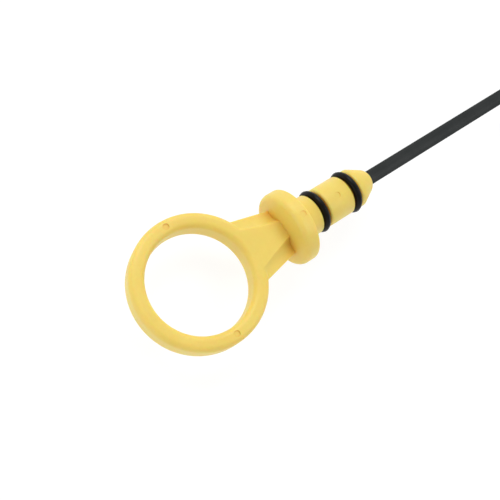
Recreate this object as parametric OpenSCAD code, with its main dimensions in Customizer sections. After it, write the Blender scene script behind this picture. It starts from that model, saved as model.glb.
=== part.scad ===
// Engine oil dipstick with a moulded finger-ring handle.
//
// The stick lies level on a bench. +X runs along it from the ring to the tip,
// +Z is the normal of the finger ring, and the origin is at the bottom centre
// of the whole stick. The modules measure x from the ring's centre along the
// stick's own line, and in_frame() then moves each piece to that origin.

/* [Finger ring] */
// Outside diameter of the finger ring
ring_d = 44.6; // [36:0.1:50]
// Width of the ring's section, seen from the front
ring_w = 5.15; // [4.4:0.05:7]
// Depth of the ring's section, from front to back
ring_depth = 8.9; // [7.5:0.1:12]
// Radius that rounds the edges of the ring's section
ring_edge_r = 2; // [0.5:0.1:2]

/* [Neck] */
// Width of the neck where it meets the collar
neck_w = 16.6; // [13:0.1:20]
// Angle of each side of the neck to the stick's line
neck_spread = 11; // [5:0.1:16]
// Thickness that the coves leave at the neck's sides, beside the collar
web_t = 2; // [1.6:0.1:5]
// Radius of the four coves that hollow out the neck
cove_r = 5.5; // [5:0.1:8]
// Angle at which the coves rise towards the ring
cove_rise = 9.2; // [6:0.1:16]
// Radius of the corner between the ring and the neck's side
neck_fillet = 1.2; // [0.5:0.1:2]

/* [Collar] */
// Diameter of the collar
collar_d = 26; // [24:0.1:40]
// Distance from the ring's centre to the collar's flat seat
seat_x = 39.7; // [37:0.1:60]
// Thickness of the collar at its middle
collar_t = 6.35; // [5.5:0.05:8]
// Radius of the dome on the collar's back
dome_r = 80; // [50:1:200]
// Radius that rounds the rim towards the ring
rim_back_r = 2; // [1:0.1:2.4]
// Radius that rounds the rim beside the seat
rim_front_r = 0.85; // [0.3:0.05:1.2]

/* [Barrel] */
// Diameter of the barrel that enters the guide tube
barrel_d = 14; // [13:0.1:14.8]
// Distance from the seat to the upper groove
upper_land = 7.05; // [4:0.05:12]
// Distance between the two grooves
middle_land = 10.65; // [5:0.05:15]
// Width of each groove
groove_w = 3.45; // [3.3:0.05:5]
// Diameter of the grooves' floor
groove_d = 10.24; // [9:0.02:10.6]
// Radius that rounds each groove's lip on the side of the tip
lip_r = 1; // [0.2:0.1:1]

/* [Nose] */
// Straight land between the lower groove and the nose's cone
nose_land = 2.1; // [1.2:0.1:5]
// Length of the nose's cone
cone_len = 7; // [5:0.1:12]
// Diameter of the cone at the nose's end
nose_end_d = 6.9; // [6.4:0.1:9]
// Radius that rounds the nose's end
nose_end_r = 3.5; // [0.5:0.1:4]

/* [Seals] */
// Thickness of a seal's round section
seal_t = 2.5; // [2:0.05:2.8]
// Gap between a seal and the floor and end wall it sits on
seal_fit = 0.03; // [0.01:0.01:0.1]
// Gap between the upper seal and the groove wall behind it
seal_play = 0.55; // [0.1:0.05:0.6]

/* [Blade] */
// Width of the steel blade
blade_w = 5; // [4:0.1:5.4]
// Thickness of the steel blade
blade_t = 1; // [0.6:0.1:1.5]
// Length of the blade beyond the nose
blade_len = 360; // [200:5:600]
// Length of the blade's root, moulded into the handle
root_len = 46; // [36:1:48]
// Diameter of the keying holes in the root, which the plastic fills
key_hole_d = 2.2; // [1.5:0.1:3]
// Distance between the keying holes
key_pitch = 12; // [6:0.5:20]
// Diameter of the two level holes
level_hole_d = 1.6; // [1:0.1:2.5]
// Distance from the tip to the low-level hole
level_low = 12; // [6:0.5:30]
// Distance between the two level holes
level_span = 18; // [8:0.5:30]

/* [Mould marks] */
// Diameter of the ejector-pin marks
pin_mark_d = 2.1; // [1:0.1:3]
// Depth of the ejector-pin marks
pin_mark_depth = 0.3; // [0.1:0.05:0.4]

/* [Hidden] */
$fn = 96;

ring_r = ring_d / 2;
ring_mid_r = ring_r - ring_w / 2;
collar_r = collar_d / 2;
barrel_r = barrel_d / 2;
seal_r = seal_t / 2;
seal_mid_r = groove_d / 2 + seal_fit + seal_r;

// Stations along the stick, from the ring's centre
dome_x = seat_x - collar_t;
upper_groove_x = seat_x + upper_land;
upper_seal_x = upper_groove_x + seal_play + seal_r;
lower_groove_x = upper_groove_x + groove_w + middle_land;
lower_groove_end = lower_groove_x + groove_w;
lower_seal_x = lower_groove_end - seal_fit - seal_r;
cone_x = lower_groove_end + nose_land;
nose_x = cone_x + cone_len;
root_x = nose_x - root_len;
tip_x = nose_x + blade_len;

// Moves a piece from the stick's own line to the part's origin
module in_frame() translate([(ring_r - tip_x) / 2, 0, collar_r]) children();

// Turns a profile about the stick's line: x is the place, y the radius
module turned() rotate([0, 90, 0]) rotate_extrude() mirror([1, -1]) children();

// Finger ring

module finger_ring() {
    flat = [ring_w, ring_depth] / 2 - [ring_edge_r, ring_edge_r];
    rotate_extrude() translate([ring_mid_r, 0]) {
        square([2 * flat[0], ring_depth], center = true);
        square([ring_w, 2 * flat[1]], center = true);
        for (x = [-1, 1], y = [-1, 1])
            translate([x * flat[0], y * flat[1]]) circle(ring_edge_r);
    }
}

// Neck

function neck_y(x) = neck_w / 2 + (dome_x - x) * tan(neck_spread);

// From the crest of the ring into the collar
module neck_plan() {
    near_x = ring_mid_r - ring_w;
    far_x = seat_x - collar_t / 2;
    difference() {
        polygon([
            [near_x, -neck_y(near_x)], [far_x, -neck_y(far_x)],
            [far_x, neck_y(far_x)], [near_x, neck_y(near_x)]
        ]);
        circle(ring_mid_r);
    }
}

// One cove's cutter follows a side of the neck and rises towards the ring. It
// starts inside the collar and ends within the ring.
module cove() {
    along = [-1, tan(neck_spread), tan(cove_rise)];
    reach = dome_x - ring_mid_r + 2 * ring_w;
    translate([dome_x, neck_w / 2, web_t / 2 + cove_r])
        rotate([0, acos(along[2] / norm(along)), atan2(along[1], along[0])])
            rotate(180) translate([0, 0, -collar_t]) cylinder(h = collar_t + reach, r = cove_r);
}

// Fills the corner between the ring's outer wall and the neck's side, and
// reaches a little way into both
module corner_fillet() {
    normal = [sin(neck_spread), cos(neck_spread)];
    along = [cos(neck_spread), -sin(neck_spread)];
    edge = [dome_x, neck_w / 2] * normal;
    reach = ring_r + neck_fillet;
    bite = neck_fillet / 2;
    centre = (edge + neck_fillet) * normal
        + sqrt(pow(reach, 2) - pow(edge + neck_fillet, 2)) * along;
    corner = edge * normal + sqrt(pow(ring_r, 2) - pow(edge, 2)) * along;
    difference() {
        polygon([
            centre, centre * (ring_r - bite) / reach,
            corner - bite * (normal + along), centre - (neck_fillet + bite) * normal
        ]);
        translate(centre) circle(neck_fillet);
    }
}

module neck() {
    difference() {
        union() {
            linear_extrude(ring_depth, center = true) neck_plan();
            linear_extrude(ring_depth - 2.2 * ring_edge_r, center = true)
                for (side = [0, 1]) mirror([0, side]) corner_fillet();
        }
        for (side = [0, 1], face = [0, 1]) mirror([0, side, 0]) mirror([0, 0, face]) cove();
    }
}

// Collar, barrel and nose, one turned body

// The back is a wide dome that runs into the rounded rim without a step
module collar_profile() {
    rim = [
        dome_x + dome_r - sqrt(pow(dome_r - rim_back_r, 2) - pow(collar_r - rim_back_r, 2)),
        collar_r - rim_back_r
    ];
    dome = [dome_x + dome_r, 0];
    intersection() {
        translate(dome) circle(dome_r, $fn = 720);
        polygon([[rim[0], 0], rim, dome + (rim - dome) * 1.1, [dome_x - dome_r, 0]]);
        translate([dome_x, 0]) square([collar_t, collar_r]);
    }
    translate(rim) circle(rim_back_r);
    translate([rim[0], 0]) square([seat_x - rim[0], collar_r - rim_front_r]);
    translate([rim[0], 0]) square([seat_x - rim_front_r - rim[0], collar_r]);
    translate([seat_x - rim_front_r, collar_r - rim_front_r]) circle(rim_front_r);
}

// A cone whose blunt end is rounded
module nose_profile() {
    end_r = nose_end_d / 2;
    cone_dir = [-cone_len, barrel_r - end_r] / norm([cone_len, barrel_r - end_r]);
    turn = acos(cone_dir[1]);
    round_r = min(nose_end_r, 0.8 * end_r / tan(turn / 2));
    cut = round_r * tan(turn / 2);
    intersection() {
        union() {
            polygon([
                [cone_x, 0], [cone_x, barrel_r], [nose_x, end_r] + cut * cone_dir,
                [nose_x, end_r - cut], [nose_x, 0]
            ]);
            translate([nose_x - round_r, end_r - cut]) circle(round_r);
        }
        translate([cone_x, 0]) square([cone_len, barrel_r]);
    }
}

// A square groove whose far lip is rounded, so that a seal can roll into it
module groove_profile(x) {
    translate([x, groove_d / 2]) square([groove_w, barrel_r]);
    difference() {
        translate([x + groove_w / 2, barrel_r - lip_r]) square([groove_w / 2 + lip_r, barrel_r]);
        translate([x + groove_w + lip_r, barrel_r - lip_r]) circle(lip_r);
    }
}

module stopper_profile() {
    collar_profile();
    nose_profile();
    difference() {
        translate([seat_x - collar_t / 2, 0]) square([cone_x - seat_x + collar_t / 2, barrel_r]);
        for (x = [upper_groove_x, lower_groove_x]) groove_profile(x);
    }
}

// Marks of the mould's ejector pins, all on the upper side

module pin_mark(x, y, top_z) {
    translate([x, y, top_z - pin_mark_depth]) cylinder(h = collar_r, d = pin_mark_d, $fn = 32);
}

module pin_marks() {
    for (side = [-1, 1]) pin_mark(0, side * ring_mid_r, ring_depth / 2);
    pin_mark(seat_x - collar_t / 3, 0, collar_r);
    pin_mark((upper_groove_x + groove_w + lower_groove_x) / 2, 0, barrel_r);
}

// Pieces

module blade_solid() {
    linear_extrude(blade_t, center = true) difference() {
        union() {
            translate([root_x, -blade_w / 2]) square([tip_x - root_x - blade_w / 2, blade_w]);
            translate([tip_x - blade_w / 2, 0]) circle(d = blade_w);
        }
        for (i = [0, 1]) {
            translate([root_x + key_hole_d * 1.5 + i * key_pitch, 0]) circle(d = key_hole_d);
            translate([tip_x - level_low - i * level_span, 0]) circle(d = level_hole_d);
        }
    }
}

// The plastic is moulded round the blade's root and through its keying holes
module handle() {
    color("gold") in_frame() difference() {
        union() {
            finger_ring();
            neck();
            turned() stopper_profile();
        }
        blade_solid();
        pin_marks();
    }
}

module blade() {
    color("dimgray") in_frame() blade_solid();
}

module seal(x) {
    in_frame() turned() translate([x, seal_mid_r]) circle(seal_r, $fn = 48);
}

module upper_o_ring() {
    color("black") seal(upper_seal_x);
}

module lower_o_ring() {
    color("black") seal(lower_seal_x);
}

handle();
blade();
upper_o_ring();
lower_o_ring();
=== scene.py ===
# Engine oil dipstick: a yellow moulded handle with a finger ring, two black
# sealing rings and a long steel blade, lying flat on a pale floor.
import math

import bmesh
import bpy
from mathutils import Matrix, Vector


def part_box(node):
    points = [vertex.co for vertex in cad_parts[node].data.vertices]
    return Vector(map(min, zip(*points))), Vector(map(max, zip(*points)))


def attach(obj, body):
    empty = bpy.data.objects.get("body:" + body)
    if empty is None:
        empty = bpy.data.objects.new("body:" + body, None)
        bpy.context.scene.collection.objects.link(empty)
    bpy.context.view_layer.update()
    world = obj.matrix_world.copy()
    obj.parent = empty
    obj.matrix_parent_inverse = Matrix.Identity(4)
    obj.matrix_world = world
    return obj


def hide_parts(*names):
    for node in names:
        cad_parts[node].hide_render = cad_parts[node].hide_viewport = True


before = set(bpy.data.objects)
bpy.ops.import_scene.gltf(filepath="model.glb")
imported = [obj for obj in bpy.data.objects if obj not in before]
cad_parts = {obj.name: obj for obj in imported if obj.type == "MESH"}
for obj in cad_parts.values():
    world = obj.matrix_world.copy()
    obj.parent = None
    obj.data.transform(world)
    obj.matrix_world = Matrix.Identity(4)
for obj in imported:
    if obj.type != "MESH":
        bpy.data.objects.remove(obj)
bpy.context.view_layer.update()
bpy.ops.object.select_all(action="DESELECT")

# Handle
# One injection moulding in yellow plastic. The finger ring runs through a
# hollowed neck into a thick collar, and the barrel beyond it carries the seals
# and ends in a blunt nose, with soft corners everywhere and ejector-pin marks.

# Sizes are in millimetres. The x axis runs along the stick from the ring's centre.
MM = 0.001
ring_r = 22.29
ring_w = 5.15
ring_depth = 8.9
ring_edge_r = 2.0
neck_w = 16.6
neck_spread = math.radians(11)
neck_past_crest = 5.0
neck_short_of_seat = 2.5
web_t = 2.0
cove_r = 5.5
cove_rise = math.radians(9.2)
cove_cut_len = 60.0
cove_cut_shift = 15.0
collar_r = 13.0
seat_x = 39.7
collar_t = 6.35
dome_r = 80.0
rim_back_r = 2.0
rim_front_r = 0.85
seat_fillet_r = 0.35
barrel_r = 7.0
groove_floor_r = 5.12
groove_w = 3.45
groove_starts = (46.75, 60.85)
groove_edge = 0.12
groove_corner = 0.25
groove_corner_mid = 0.08
lip_r = 1.0
cone_x = 66.4
nose_x = 73.4
nose_end_r = 3.45
nose_round_r = 3.5
nose_round_limit = 0.8
pin_mark_r = 1.05
pin_mark_depth = 0.36
faint_mark_depth = 0.22
pin_cut_len = 4.0
turn_steps = 192
skin_voxel = 0.17
skin_faces = 60000
soft_neck_inset = 1.0
smooth_angle = math.radians(50)

ring_mid_r = ring_r - ring_w / 2
dome_x = seat_x - collar_t
upper_seal_x = 48.55
seal_low, seal_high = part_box("upper_o_ring")
ring_centre = (seal_low.x + seal_high.x) / 2 - upper_seal_x * MM
axis_z = (seal_low.z + seal_high.z) / 2


def place(x, y=0.0, z=0.0):
    """A point on the stick, in millimetres from the ring's centre."""
    return Vector((ring_centre + x * MM, y * MM, axis_z + z * MM))


def spin_closed(axis):
    """Spins the selected profile once round the ring's centre, faces outwards."""
    bpy.ops.mesh.spin(steps=turn_steps, angle=math.tau, center=place(0), axis=axis)
    bpy.ops.mesh.select_all(action="SELECT")
    bpy.ops.mesh.remove_doubles(threshold=0.002 * MM)
    bpy.ops.mesh.normals_make_consistent(inside=False)
    bpy.ops.object.mode_set(mode="OBJECT")


# The ring: the section is a rectangle with its corners bevelled round
bpy.ops.mesh.primitive_plane_add(
    size=1, location=place(ring_mid_r), rotation=(math.pi / 2, 0, 0)
)
handle = bpy.context.object
handle.name = "handle_moulding"
handle.scale = (ring_w * MM, ring_depth * MM, 1)
bpy.ops.object.transform_apply(location=True, rotation=True, scale=True)
bpy.ops.object.mode_set(mode="EDIT")
bpy.ops.mesh.bevel(
    affect="VERTICES",
    offset=ring_edge_r * MM,
    offset_type="OFFSET",
    segments=10,
    profile=0.5,
)
bpy.ops.mesh.delete(type="ONLY_FACE")
bpy.ops.mesh.select_all(action="SELECT")
spin_closed((0, 0, 1))


def only(obj):
    """Selects one object alone and makes it the active one."""
    bpy.ops.object.select_all(action="DESELECT")
    obj.select_set(True)
    bpy.context.view_layer.objects.active = obj


def pick(obj, kind, test):
    """In edit mode, selects only the faces or edges that pass a test."""
    bpy.ops.mesh.select_all(action="DESELECT")
    bpy.ops.mesh.select_mode(type=kind)
    mesh = bmesh.from_edit_mesh(obj.data)
    for part in mesh.faces if kind == "FACE" else mesh.edges:
        part.select_set(test(part))
    bmesh.update_edit_mesh(obj.data)


def combine(body, tool, operation):
    """Joins or cuts a body with a tool, which is then thrown away."""
    only(body)
    step = body.modifiers.new(operation, "BOOLEAN")
    step.operation = operation
    step.solver = "EXACT"
    step.object = tool
    bpy.ops.object.modifier_apply(modifier=step.name)
    bpy.data.objects.remove(tool)


def neck_y(x):
    """Half the neck's width at x."""
    return neck_w / 2 + (dome_x - x) * math.tan(neck_spread)


# The neck: a tapered block, cut back to the ring and hollowed by four coves
neck_near = ring_mid_r - neck_past_crest
neck_far = seat_x - neck_short_of_seat

bpy.ops.mesh.primitive_cube_add(size=1, location=place((neck_near + neck_far) / 2))
neck = bpy.context.object
neck.scale = ((neck_far - neck_near) * MM, 2 * neck_y(neck_near) * MM, ring_depth * MM)
bpy.ops.object.transform_apply(location=True, rotation=True, scale=True)
bpy.ops.object.mode_set(mode="EDIT")
pick(neck, "FACE", lambda face: face.normal.x > 0.9)
bpy.ops.transform.resize(
    value=(1, neck_y(neck_far) / neck_y(neck_near), 1), center_override=place(neck_far)
)
bpy.ops.object.mode_set(mode="OBJECT")
bpy.ops.mesh.primitive_cylinder_add(
    vertices=turn_steps,
    radius=ring_mid_r * MM,
    depth=3 * ring_depth * MM,
    location=place(0),
)
combine(neck, bpy.context.object, "DIFFERENCE")
for side in (-1, 1):
    for face_side in (-1, 1):
        along = Vector((-1, side * math.tan(neck_spread), face_side * math.tan(cove_rise)))
        start = place(dome_x, side * neck_w / 2, face_side * (web_t / 2 + cove_r))
        bpy.ops.mesh.primitive_cylinder_add(
            vertices=128,
            radius=cove_r * MM,
            depth=cove_cut_len * MM,
            location=start + along.normalized() * cove_cut_shift * MM,
            rotation=along.to_track_quat("Z", "Y").to_euler(),
        )
        combine(neck, bpy.context.object, "DIFFERENCE")


def arc(centre, radius, start, end, steps):
    """Points of an arc in the plane of the stick's profile, angles in degrees."""
    points = []
    for i in range(steps + 1):
        angle = math.radians(start + (end - start) * i / steps)
        points.append(
            (centre[0] + radius * math.cos(angle), centre[1] + radius * math.sin(angle))
        )
    return points


# The collar, barrel and nose: one turned profile, from the dome to the nose
rim_y = collar_r - rim_back_r
rim_x = dome_x + dome_r - math.sqrt((dome_r - rim_back_r) ** 2 - rim_y**2)
rim_angle = math.degrees(math.atan2(rim_y, dome_x + dome_r - rim_x))
profile = arc((dome_x + dome_r, 0), dome_r, 180, 180 - rim_angle, 24)
profile += arc((rim_x, rim_y), rim_back_r, 180 - rim_angle, 90, 10)[1:]
profile += arc((seat_x - rim_front_r, collar_r - rim_front_r), rim_front_r, 90, 0, 8)
fillet_y = barrel_r + seat_fillet_r
profile += [(seat_x, fillet_y)]
profile += arc((seat_x + seat_fillet_r, fillet_y), seat_fillet_r, 180, 270, 4)[1:]

# A groove has a broken near edge, soft corners at its floor and a round far lip
for near_x in groove_starts:
    far_x = near_x + groove_w
    profile += [
        (near_x - groove_edge, barrel_r),
        (near_x, barrel_r - groove_edge),
        (near_x, groove_floor_r + groove_corner),
        (near_x + groove_corner_mid, groove_floor_r + groove_corner_mid),
        (near_x + groove_corner, groove_floor_r),
        (far_x - groove_corner, groove_floor_r),
        (far_x - groove_corner_mid, groove_floor_r + groove_corner_mid),
        (far_x, groove_floor_r + groove_corner),
    ]
    profile += arc((far_x + lip_r, barrel_r - lip_r), lip_r, 180, 90, 8)

cone_angle = math.degrees(math.atan2(barrel_r - nose_end_r, nose_x - cone_x))
half_turn_tan = math.tan(math.radians(90 - cone_angle) / 2)
round_r = min(nose_round_r, nose_round_limit * nose_end_r / half_turn_tan)
nose_centre = (nose_x - round_r, nose_end_r - round_r * half_turn_tan)
profile += [(cone_x, barrel_r)]
profile += arc(nose_centre, round_r, 90 - cone_angle, 0, 12)
profile += [(nose_x, 0)]

points = [place(x, 0, r) for x, r in profile]
bpy.ops.mesh.primitive_plane_add(size=MM, location=points[0])
stopper = bpy.context.object
stopper.name = "stopper"
bpy.ops.object.transform_apply(location=True)
bpy.ops.object.mode_set(mode="EDIT")
bpy.ops.mesh.select_mode(type="VERT")
bpy.ops.mesh.merge(type="CENTER")
for here, there in zip(points, points[1:]):
    bpy.ops.mesh.extrude_vertices_move(TRANSFORM_OT_translate={"value": there - here})
bpy.ops.mesh.select_all(action="SELECT")
spin_closed((1, 0, 0))

# An even fine skin over the ring and neck, relaxed so that their corners are soft
combine(handle, neck, "UNION")
skin = handle.modifiers.new("skin", "REMESH")
skin.mode = "VOXEL"
skin.voxel_size = skin_voxel * MM
bpy.ops.object.modifier_apply(modifier=skin.name)
neck_start = ring_centre + (ring_r - soft_neck_inset) * MM
for name, passes in (("ring", 12), ("neck", 8)):
    on_ring = name == "ring"
    members = [v.index for v in handle.data.vertices if (v.co.x < neck_start) == on_ring]
    handle.vertex_groups.new(name=name).add(members, 1.0, "REPLACE")
    relax = handle.modifiers.new(name, "SMOOTH")
    relax.factor = 0.5
    relax.iterations = passes
    relax.vertex_group = name
    bpy.ops.object.modifier_apply(modifier=relax.name)
thin = handle.modifiers.new("thin", "DECIMATE")
thin.ratio = min(1.0, skin_faces / len(handle.data.polygons))
bpy.ops.object.modifier_apply(modifier=thin.name)
handle.vertex_groups.clear()

# Ejector pins left two round marks on the ring, and fainter ones on collar and barrel
barrel_mark_x = (groove_starts[0] + groove_w + groove_starts[1]) / 2
for body, x, y, floor_z in (
    (handle, 0, ring_mid_r, ring_depth / 2 - pin_mark_depth),
    (handle, 0, -ring_mid_r, ring_depth / 2 - pin_mark_depth),
    (stopper, seat_x - collar_t / 3, 0, collar_r - faint_mark_depth),
    (stopper, barrel_mark_x, 0, barrel_r - faint_mark_depth),
):
    bpy.ops.mesh.primitive_cylinder_add(
        vertices=48,
        radius=pin_mark_r * MM,
        depth=pin_cut_len * MM,
        location=place(x, y, floor_z + pin_cut_len / 2),
    )
    combine(body, bpy.context.object, "DIFFERENCE")
combine(handle, stopper, "UNION")
bpy.ops.object.shade_smooth_by_angle(angle=smooth_angle)


class Wire:
    """One output in a material's node tree, so that shader maths reads as a sum."""

    def __init__(self, tree, socket):
        self.tree, self.socket = tree, socket

    def _maths(self, operation, left, right):
        step = self.tree.nodes.new("ShaderNodeMath")
        step.operation = operation
        for slot, value in zip(step.inputs, (left, right)):
            if isinstance(value, Wire):
                self.tree.links.new(value.socket, slot)
            else:
                slot.default_value = value
        return Wire(self.tree, step.outputs[0])

    def __add__(self, other):
        return self._maths("ADD", self, other)

    def __radd__(self, other):
        return self._maths("ADD", other, self)

    def __sub__(self, other):
        return self._maths("SUBTRACT", self, other)

    def __rsub__(self, other):
        return self._maths("SUBTRACT", other, self)

    def __mul__(self, other):
        return self._maths("MULTIPLY", self, other)

    def __rmul__(self, other):
        return self._maths("MULTIPLY", other, self)


class Finish:
    """A new material: fixed numbers go straight on the shader, the rest is wired."""

    def __init__(self, name, fixed):
        self.material = bpy.data.materials.new(name)
        self.material.use_nodes = True
        self.tree = self.material.node_tree
        self.shader = self.tree.nodes["Principled BSDF"]
        for socket, value in fixed.items():
            self.shader.inputs[socket].default_value = value

    def node(self, kind, sockets=None, out=0, **settings):
        """Any node: its settings come first, then the values or wires of its sockets."""
        made = self.tree.nodes.new("ShaderNode" + kind)
        for name, value in settings.items():
            setattr(made, name, value)
        for name, value in (sockets or {}).items():
            if isinstance(value, Wire):
                self.tree.links.new(value.socket, made.inputs[name])
            else:
                made.inputs[name].default_value = value
        return Wire(self.tree, made.outputs[out])

    def wire(self, socket, value):
        """Wires a value to one of the shader's own sockets."""
        self.tree.links.new(value.socket, self.shader.inputs[socket])

    def position(self, stretch=(1, 1, 1)):
        """Object coordinates, stretched along the axes."""
        where = self.node("TexCoord", out="Object")
        return self.node("Mapping", {"Vector": where, "Scale": stretch})

    def noise(self, where, scale, detail=3.0, roughness=0.5):
        return self.node(
            "TexNoise",
            {"Vector": where, "Scale": scale, "Detail": detail, "Roughness": roughness},
        )

    def fade(self, value, low, high, to_low=0.0, to_high=1.0):
        """Goes softly from to_low to to_high as the value goes from low to high."""
        return self.node(
            "MapRange",
            {
                "Value": value,
                "From Min": low,
                "From Max": high,
                "To Min": to_low,
                "To Max": to_high,
            },
            interpolation_type="SMOOTHSTEP",
        )

    def mix(self, factor, low, high):
        """Blends two colours. Sockets go by number, because several are named A and B."""
        return self.node("Mix", {0: factor, 6: low, 7: high}, out=2, data_type="RGBA")


# Soft yellow with faint clouds, and painted shade that turns the colour orange in creases
# and hollows
deep_yellow = (0.80, 0.61, 0.122, 1)
pale_yellow = (0.83, 0.65, 0.146, 1)
painted_shade_orange = (0.80, 0.44, 0.045, 1)
painted_shade_reach = 10.0
parting_core = 0.02
parting_reach = 0.09

plastic = Finish(
    "yellow_plastic",
    {
        "Subsurface Weight": 0.6,
        "Subsurface Scale": 3 * MM,
        "Subsurface Radius": (1.0, 0.4, 0.1),
    },
)
where = plastic.position()
cloud = plastic.noise(where, 70, 2.0)
grain = plastic.noise(where, 900, 3.0, 0.6)
fine = plastic.noise(where, 3200, 2.0, 0.6)
clouding = plastic.fade(cloud * 0.7 + grain * 0.3, 0.35, 0.65)
tint = plastic.mix(clouding, deep_yellow, pale_yellow)
# Painted shade: where ambient occlusion finds surfaces close by, the base colour is mixed
# towards orange
openness = plastic.node(
    "AmbientOcclusion", {"Distance": painted_shade_reach * MM}, out="AO", samples=8
)
openness = plastic.fade(openness, 0.1, 0.92)
plastic.wire("Base Color", plastic.mix(openness, painted_shade_orange, tint))
plastic.wire("Roughness", 0.40 + grain * 0.08 + cloud * 0.04)
height = plastic.node("SeparateXYZ", {"Vector": where}, out="Z")
off_parting = plastic.node("Math", {0: height - axis_z}, operation="ABSOLUTE")
parting = plastic.fade(off_parting, parting_core * MM, parting_reach * MM, 1.0, 0.0)
plastic.wire(
    "Normal",
    plastic.node(
        "Bump",
        {
            "Strength": 0.25,
            "Distance": 0.04 * MM,
            "Height": grain * 0.6 + fine * 0.4 + parting * 1.5,
        },
    ),
)
handle.data.materials.append(plastic.material)
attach(handle, "root")
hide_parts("handle")

# Seals
# Two rubber sealing rings, rolled over the nose into the barrel's grooves. Each
# is moulded in halves, which leaves a thin flash line round its outside.

seal_r = 1.25
seal_trim = 0.01
flash_w = 0.12
flash_h = 0.06
clean_black = (0.0055, 0.005, 0.0045, 1)
dusty_black = (0.010, 0.0095, 0.009, 1)

rubber = Finish("black_rubber", {"Specular IOR Level": 0.13})
where = rubber.position()
dust = rubber.noise(where, 260, 3.0, 0.6)
skin_grain = rubber.noise(where, 2600, 2.0, 0.6)
rubber.wire("Base Color", rubber.mix(rubber.fade(dust, 0.4, 0.75), clean_black, dusty_black))
rubber.wire("Roughness", 0.26 + skin_grain * 0.14)
rubber.wire(
    "Normal",
    rubber.node("Bump", {"Strength": 0.3, "Distance": 0.03 * MM, "Height": skin_grain}),
)


def off_axis(vert, middle):
    """A point's distance from the stick's line."""
    return math.hypot(vert.co.y - middle.y, vert.co.z - middle.z)


for name in ("upper_o_ring", "lower_o_ring"):
    low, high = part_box(name)
    middle = (low + high) / 2
    outer_r = (high.z - low.z) / 2
    bpy.ops.mesh.primitive_torus_add(
        location=middle,
        rotation=(0, math.pi / 2, 0),
        major_radius=outer_r - seal_r * MM,
        minor_radius=(seal_r - seal_trim) * MM,
        major_segments=160,
        minor_segments=36,
    )
    seal = bpy.context.object
    seal.name = name + "_rubber"
    bpy.ops.object.transform_apply(location=True, rotation=True)

    # The outermost loop of edges is split in three, and the middle one stands out
    crest_r = outer_r - 2 * seal_trim * MM
    bpy.ops.object.mode_set(mode="EDIT")
    pick(seal, "EDGE", lambda edge: all(off_axis(v, middle) > crest_r for v in edge.verts))
    bpy.ops.mesh.bevel(offset=flash_w / 2 * MM, segments=2, profile=1)
    pick(
        seal,
        "EDGE",
        lambda edge: all(
            off_axis(v, middle) > crest_r and abs(v.co.x - middle.x) < flash_w / 8 * MM
            for v in edge.verts
        ),
    )
    swell = 1 + flash_h * MM / outer_r
    bpy.ops.transform.resize(value=(1, swell, swell), center_override=middle)
    bpy.ops.object.mode_set(mode="OBJECT")
    seal.data.materials.append(rubber.material)
    only(seal)
    bpy.ops.object.shade_smooth()
    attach(seal, "root")
    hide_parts(name)

# Blade
# A strip of spring steel with rounded edges and a chemically blackened
# surface. Its root is moulded into the handle, which grips it through two
# keying holes. Two small holes near its round tip mark the oil levels.

blade_w = 5.0
blade_t = 1.0
blade_edge_r = 0.12
blade_len = 360.0
tip_trim = 0.02
tip_round_share = 0.999
root_len = 46.0
key_hole_d = 2.2
key_inset = 1.5 * key_hole_d
key_pitch = 12.0
level_hole_r = 0.8
level_places = (12.0, 30.0)
hole_cut_len = 5.0

root_x = nose_x - root_len
tip_x = nose_x + blade_len - tip_trim
key_x = root_x + key_inset

bpy.ops.mesh.primitive_cube_add(size=1, location=place((root_x + tip_x) / 2))
blade = bpy.context.object
blade.name = "steel_blade"
blade.scale = ((tip_x - root_x) * MM, blade_w * MM, blade_t * MM)
bpy.ops.object.transform_apply(location=True, rotation=True, scale=True)
bpy.ops.object.mode_set(mode="EDIT")
near_tip = place(tip_x - blade_t).x
pick(
    blade,
    "EDGE",
    lambda edge: all(v.co.x > near_tip for v in edge.verts)
    and edge.calc_length() < 1.5 * blade_t * MM,
)
bpy.ops.mesh.bevel(offset=blade_w / 2 * tip_round_share * MM, segments=16, profile=0.5)
bpy.ops.object.mode_set(mode="OBJECT")
for x, hole_r in (
    (tip_x - level_places[0], level_hole_r),
    (tip_x - level_places[1], level_hole_r),
    (key_x, key_hole_d / 2),
    (key_x + key_pitch, key_hole_d / 2),
):
    bpy.ops.mesh.primitive_cylinder_add(
        vertices=48, radius=hole_r * MM, depth=hole_cut_len * MM, location=place(x)
    )
    combine(blade, bpy.context.object, "DIFFERENCE")
only(blade)
edges = blade.modifiers.new("edges", "BEVEL")
edges.width = blade_edge_r * MM
edges.segments = 3
edges.limit_method = "ANGLE"
edges.angle_limit = smooth_angle
bpy.ops.object.modifier_apply(modifier=edges.name)
bpy.ops.object.shade_smooth_by_angle(angle=math.radians(40))

# A copy of the blade is cut out of the handle, so the plastic fills the keying holes
bpy.ops.object.duplicate()
combine(handle, bpy.context.object, "DIFFERENCE")
bpy.ops.object.shade_smooth_by_angle(angle=smooth_angle)

# Blackened steel, faintly streaked along the strip by rolling
dark_steel = (0.015, 0.018, 0.018, 1)
worn_steel = (0.022, 0.025, 0.025, 1)

steel = Finish("black_steel", {"Specular IOR Level": 0.25})
where = steel.position()
lengthwise = steel.position((0.04, 1, 1))
streak = steel.noise(lengthwise, 2600, 3.0, 0.6)
patch = steel.noise(where, 120, 3.0, 0.6)
grit = steel.noise(where, 5000, 2.0, 0.6)
wear = steel.fade(patch * 0.5 + streak * 0.5, 0.38, 0.62)
steel.wire("Base Color", steel.mix(wear, dark_steel, worn_steel))
steel.wire("Roughness", 0.42 + streak * 0.16)
relief = streak * 0.5 + grit * 0.5
steel.wire(
    "Normal",
    steel.node("Bump", {"Strength": 0.3, "Distance": 0.02 * MM, "Height": relief}),
)
blade.data.materials.append(steel.material)
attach(blade, "root")
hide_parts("blade")

# Floor, light and camera
# A plain white studio floor that turns up into a low backdrop a long way off,
# under four soft round lamps set around the stick and a white sky.

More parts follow.
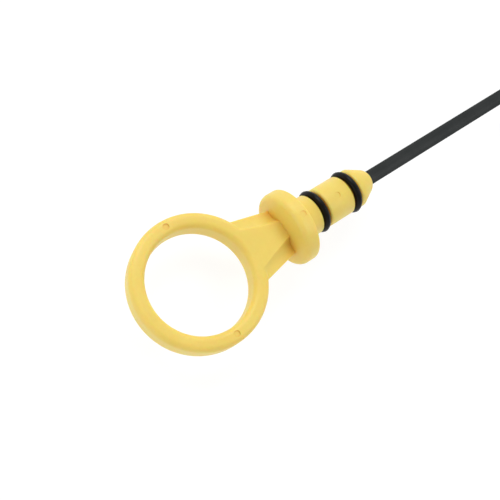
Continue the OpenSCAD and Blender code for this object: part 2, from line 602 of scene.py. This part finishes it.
floor_r = 12.0
backdrop_h = 2.4
lit_x = 30.0
light_distance = 1.1
light_size = 0.6
camera_place = (-82.16, -22.87, 228.7)
camera_turn = (18.2947, -17.0873, -35.6782)

bpy.ops.mesh.primitive_circle_add(vertices=96, radius=floor_r, fill_type="NGON")
floor = bpy.context.object
floor.name = "floor"
bpy.ops.object.mode_set(mode="EDIT")
bpy.ops.mesh.select_all(action="SELECT")
for spread, rise in ((1.1, 0.12), (1.06, 0.5), (1.0, backdrop_h)):
    bpy.ops.mesh.extrude_edges_move(TRANSFORM_OT_translate={"value": (0, 0, rise)})
    bpy.ops.transform.resize(value=(spread, spread, 1), center_override=(0, 0, 0))
bpy.ops.object.mode_set(mode="OBJECT")
paper = Finish(
    "floor_white",
    {
        "Base Color": (0.2, 0.2, 0.2, 1),
        "Roughness": 0.9,
        "Specular IOR Level": 0.0,
        "Emission Color": (1, 1, 1, 1),
        "Emission Strength": 0.86,
    },
)
floor.data.materials.append(paper.material)

studio = bpy.data.worlds.new("studio")
bpy.context.scene.world = studio
studio.use_nodes = True
sky = studio.node_tree.nodes["Background"]
sky.inputs["Color"].default_value = (1, 1, 1, 1)
sky.inputs["Strength"].default_value = 0.37

for name, azimuth, elevation, power in (
    ("side_light", 90, 50, 4.4),
    ("tip_light", 45, 50, 2.8),
    ("near_light", 315, 50, 3.1),
    ("ring_light", 180, 20, 1.9),
):
    light = bpy.data.lights.new(name, "AREA")
    light.shape = "DISK"
    light.size = light_size
    light.energy = power
    lamp = bpy.data.objects.new(name, light)
    bpy.context.scene.collection.objects.link(lamp)
    lamp.rotation_euler = (0, math.radians(90 - elevation), math.radians(azimuth))
    out = lamp.rotation_euler.to_matrix() @ Vector((0, 0, 1))
    lamp.location = place(lit_x) + out * light_distance

lens = bpy.data.cameras.new("camera")
lens.sensor_width = 36
lens.lens = 56.46
lens.clip_start = 0.01
lens.clip_end = 20
camera = bpy.data.objects.new("camera", lens)
bpy.context.scene.collection.objects.link(camera)
camera.location = place(*camera_place)
camera.rotation_euler = [math.radians(degrees) for degrees in camera_turn]
bpy.context.scene.camera = camera
bpy.context.scene.view_settings.view_transform = "Standard"
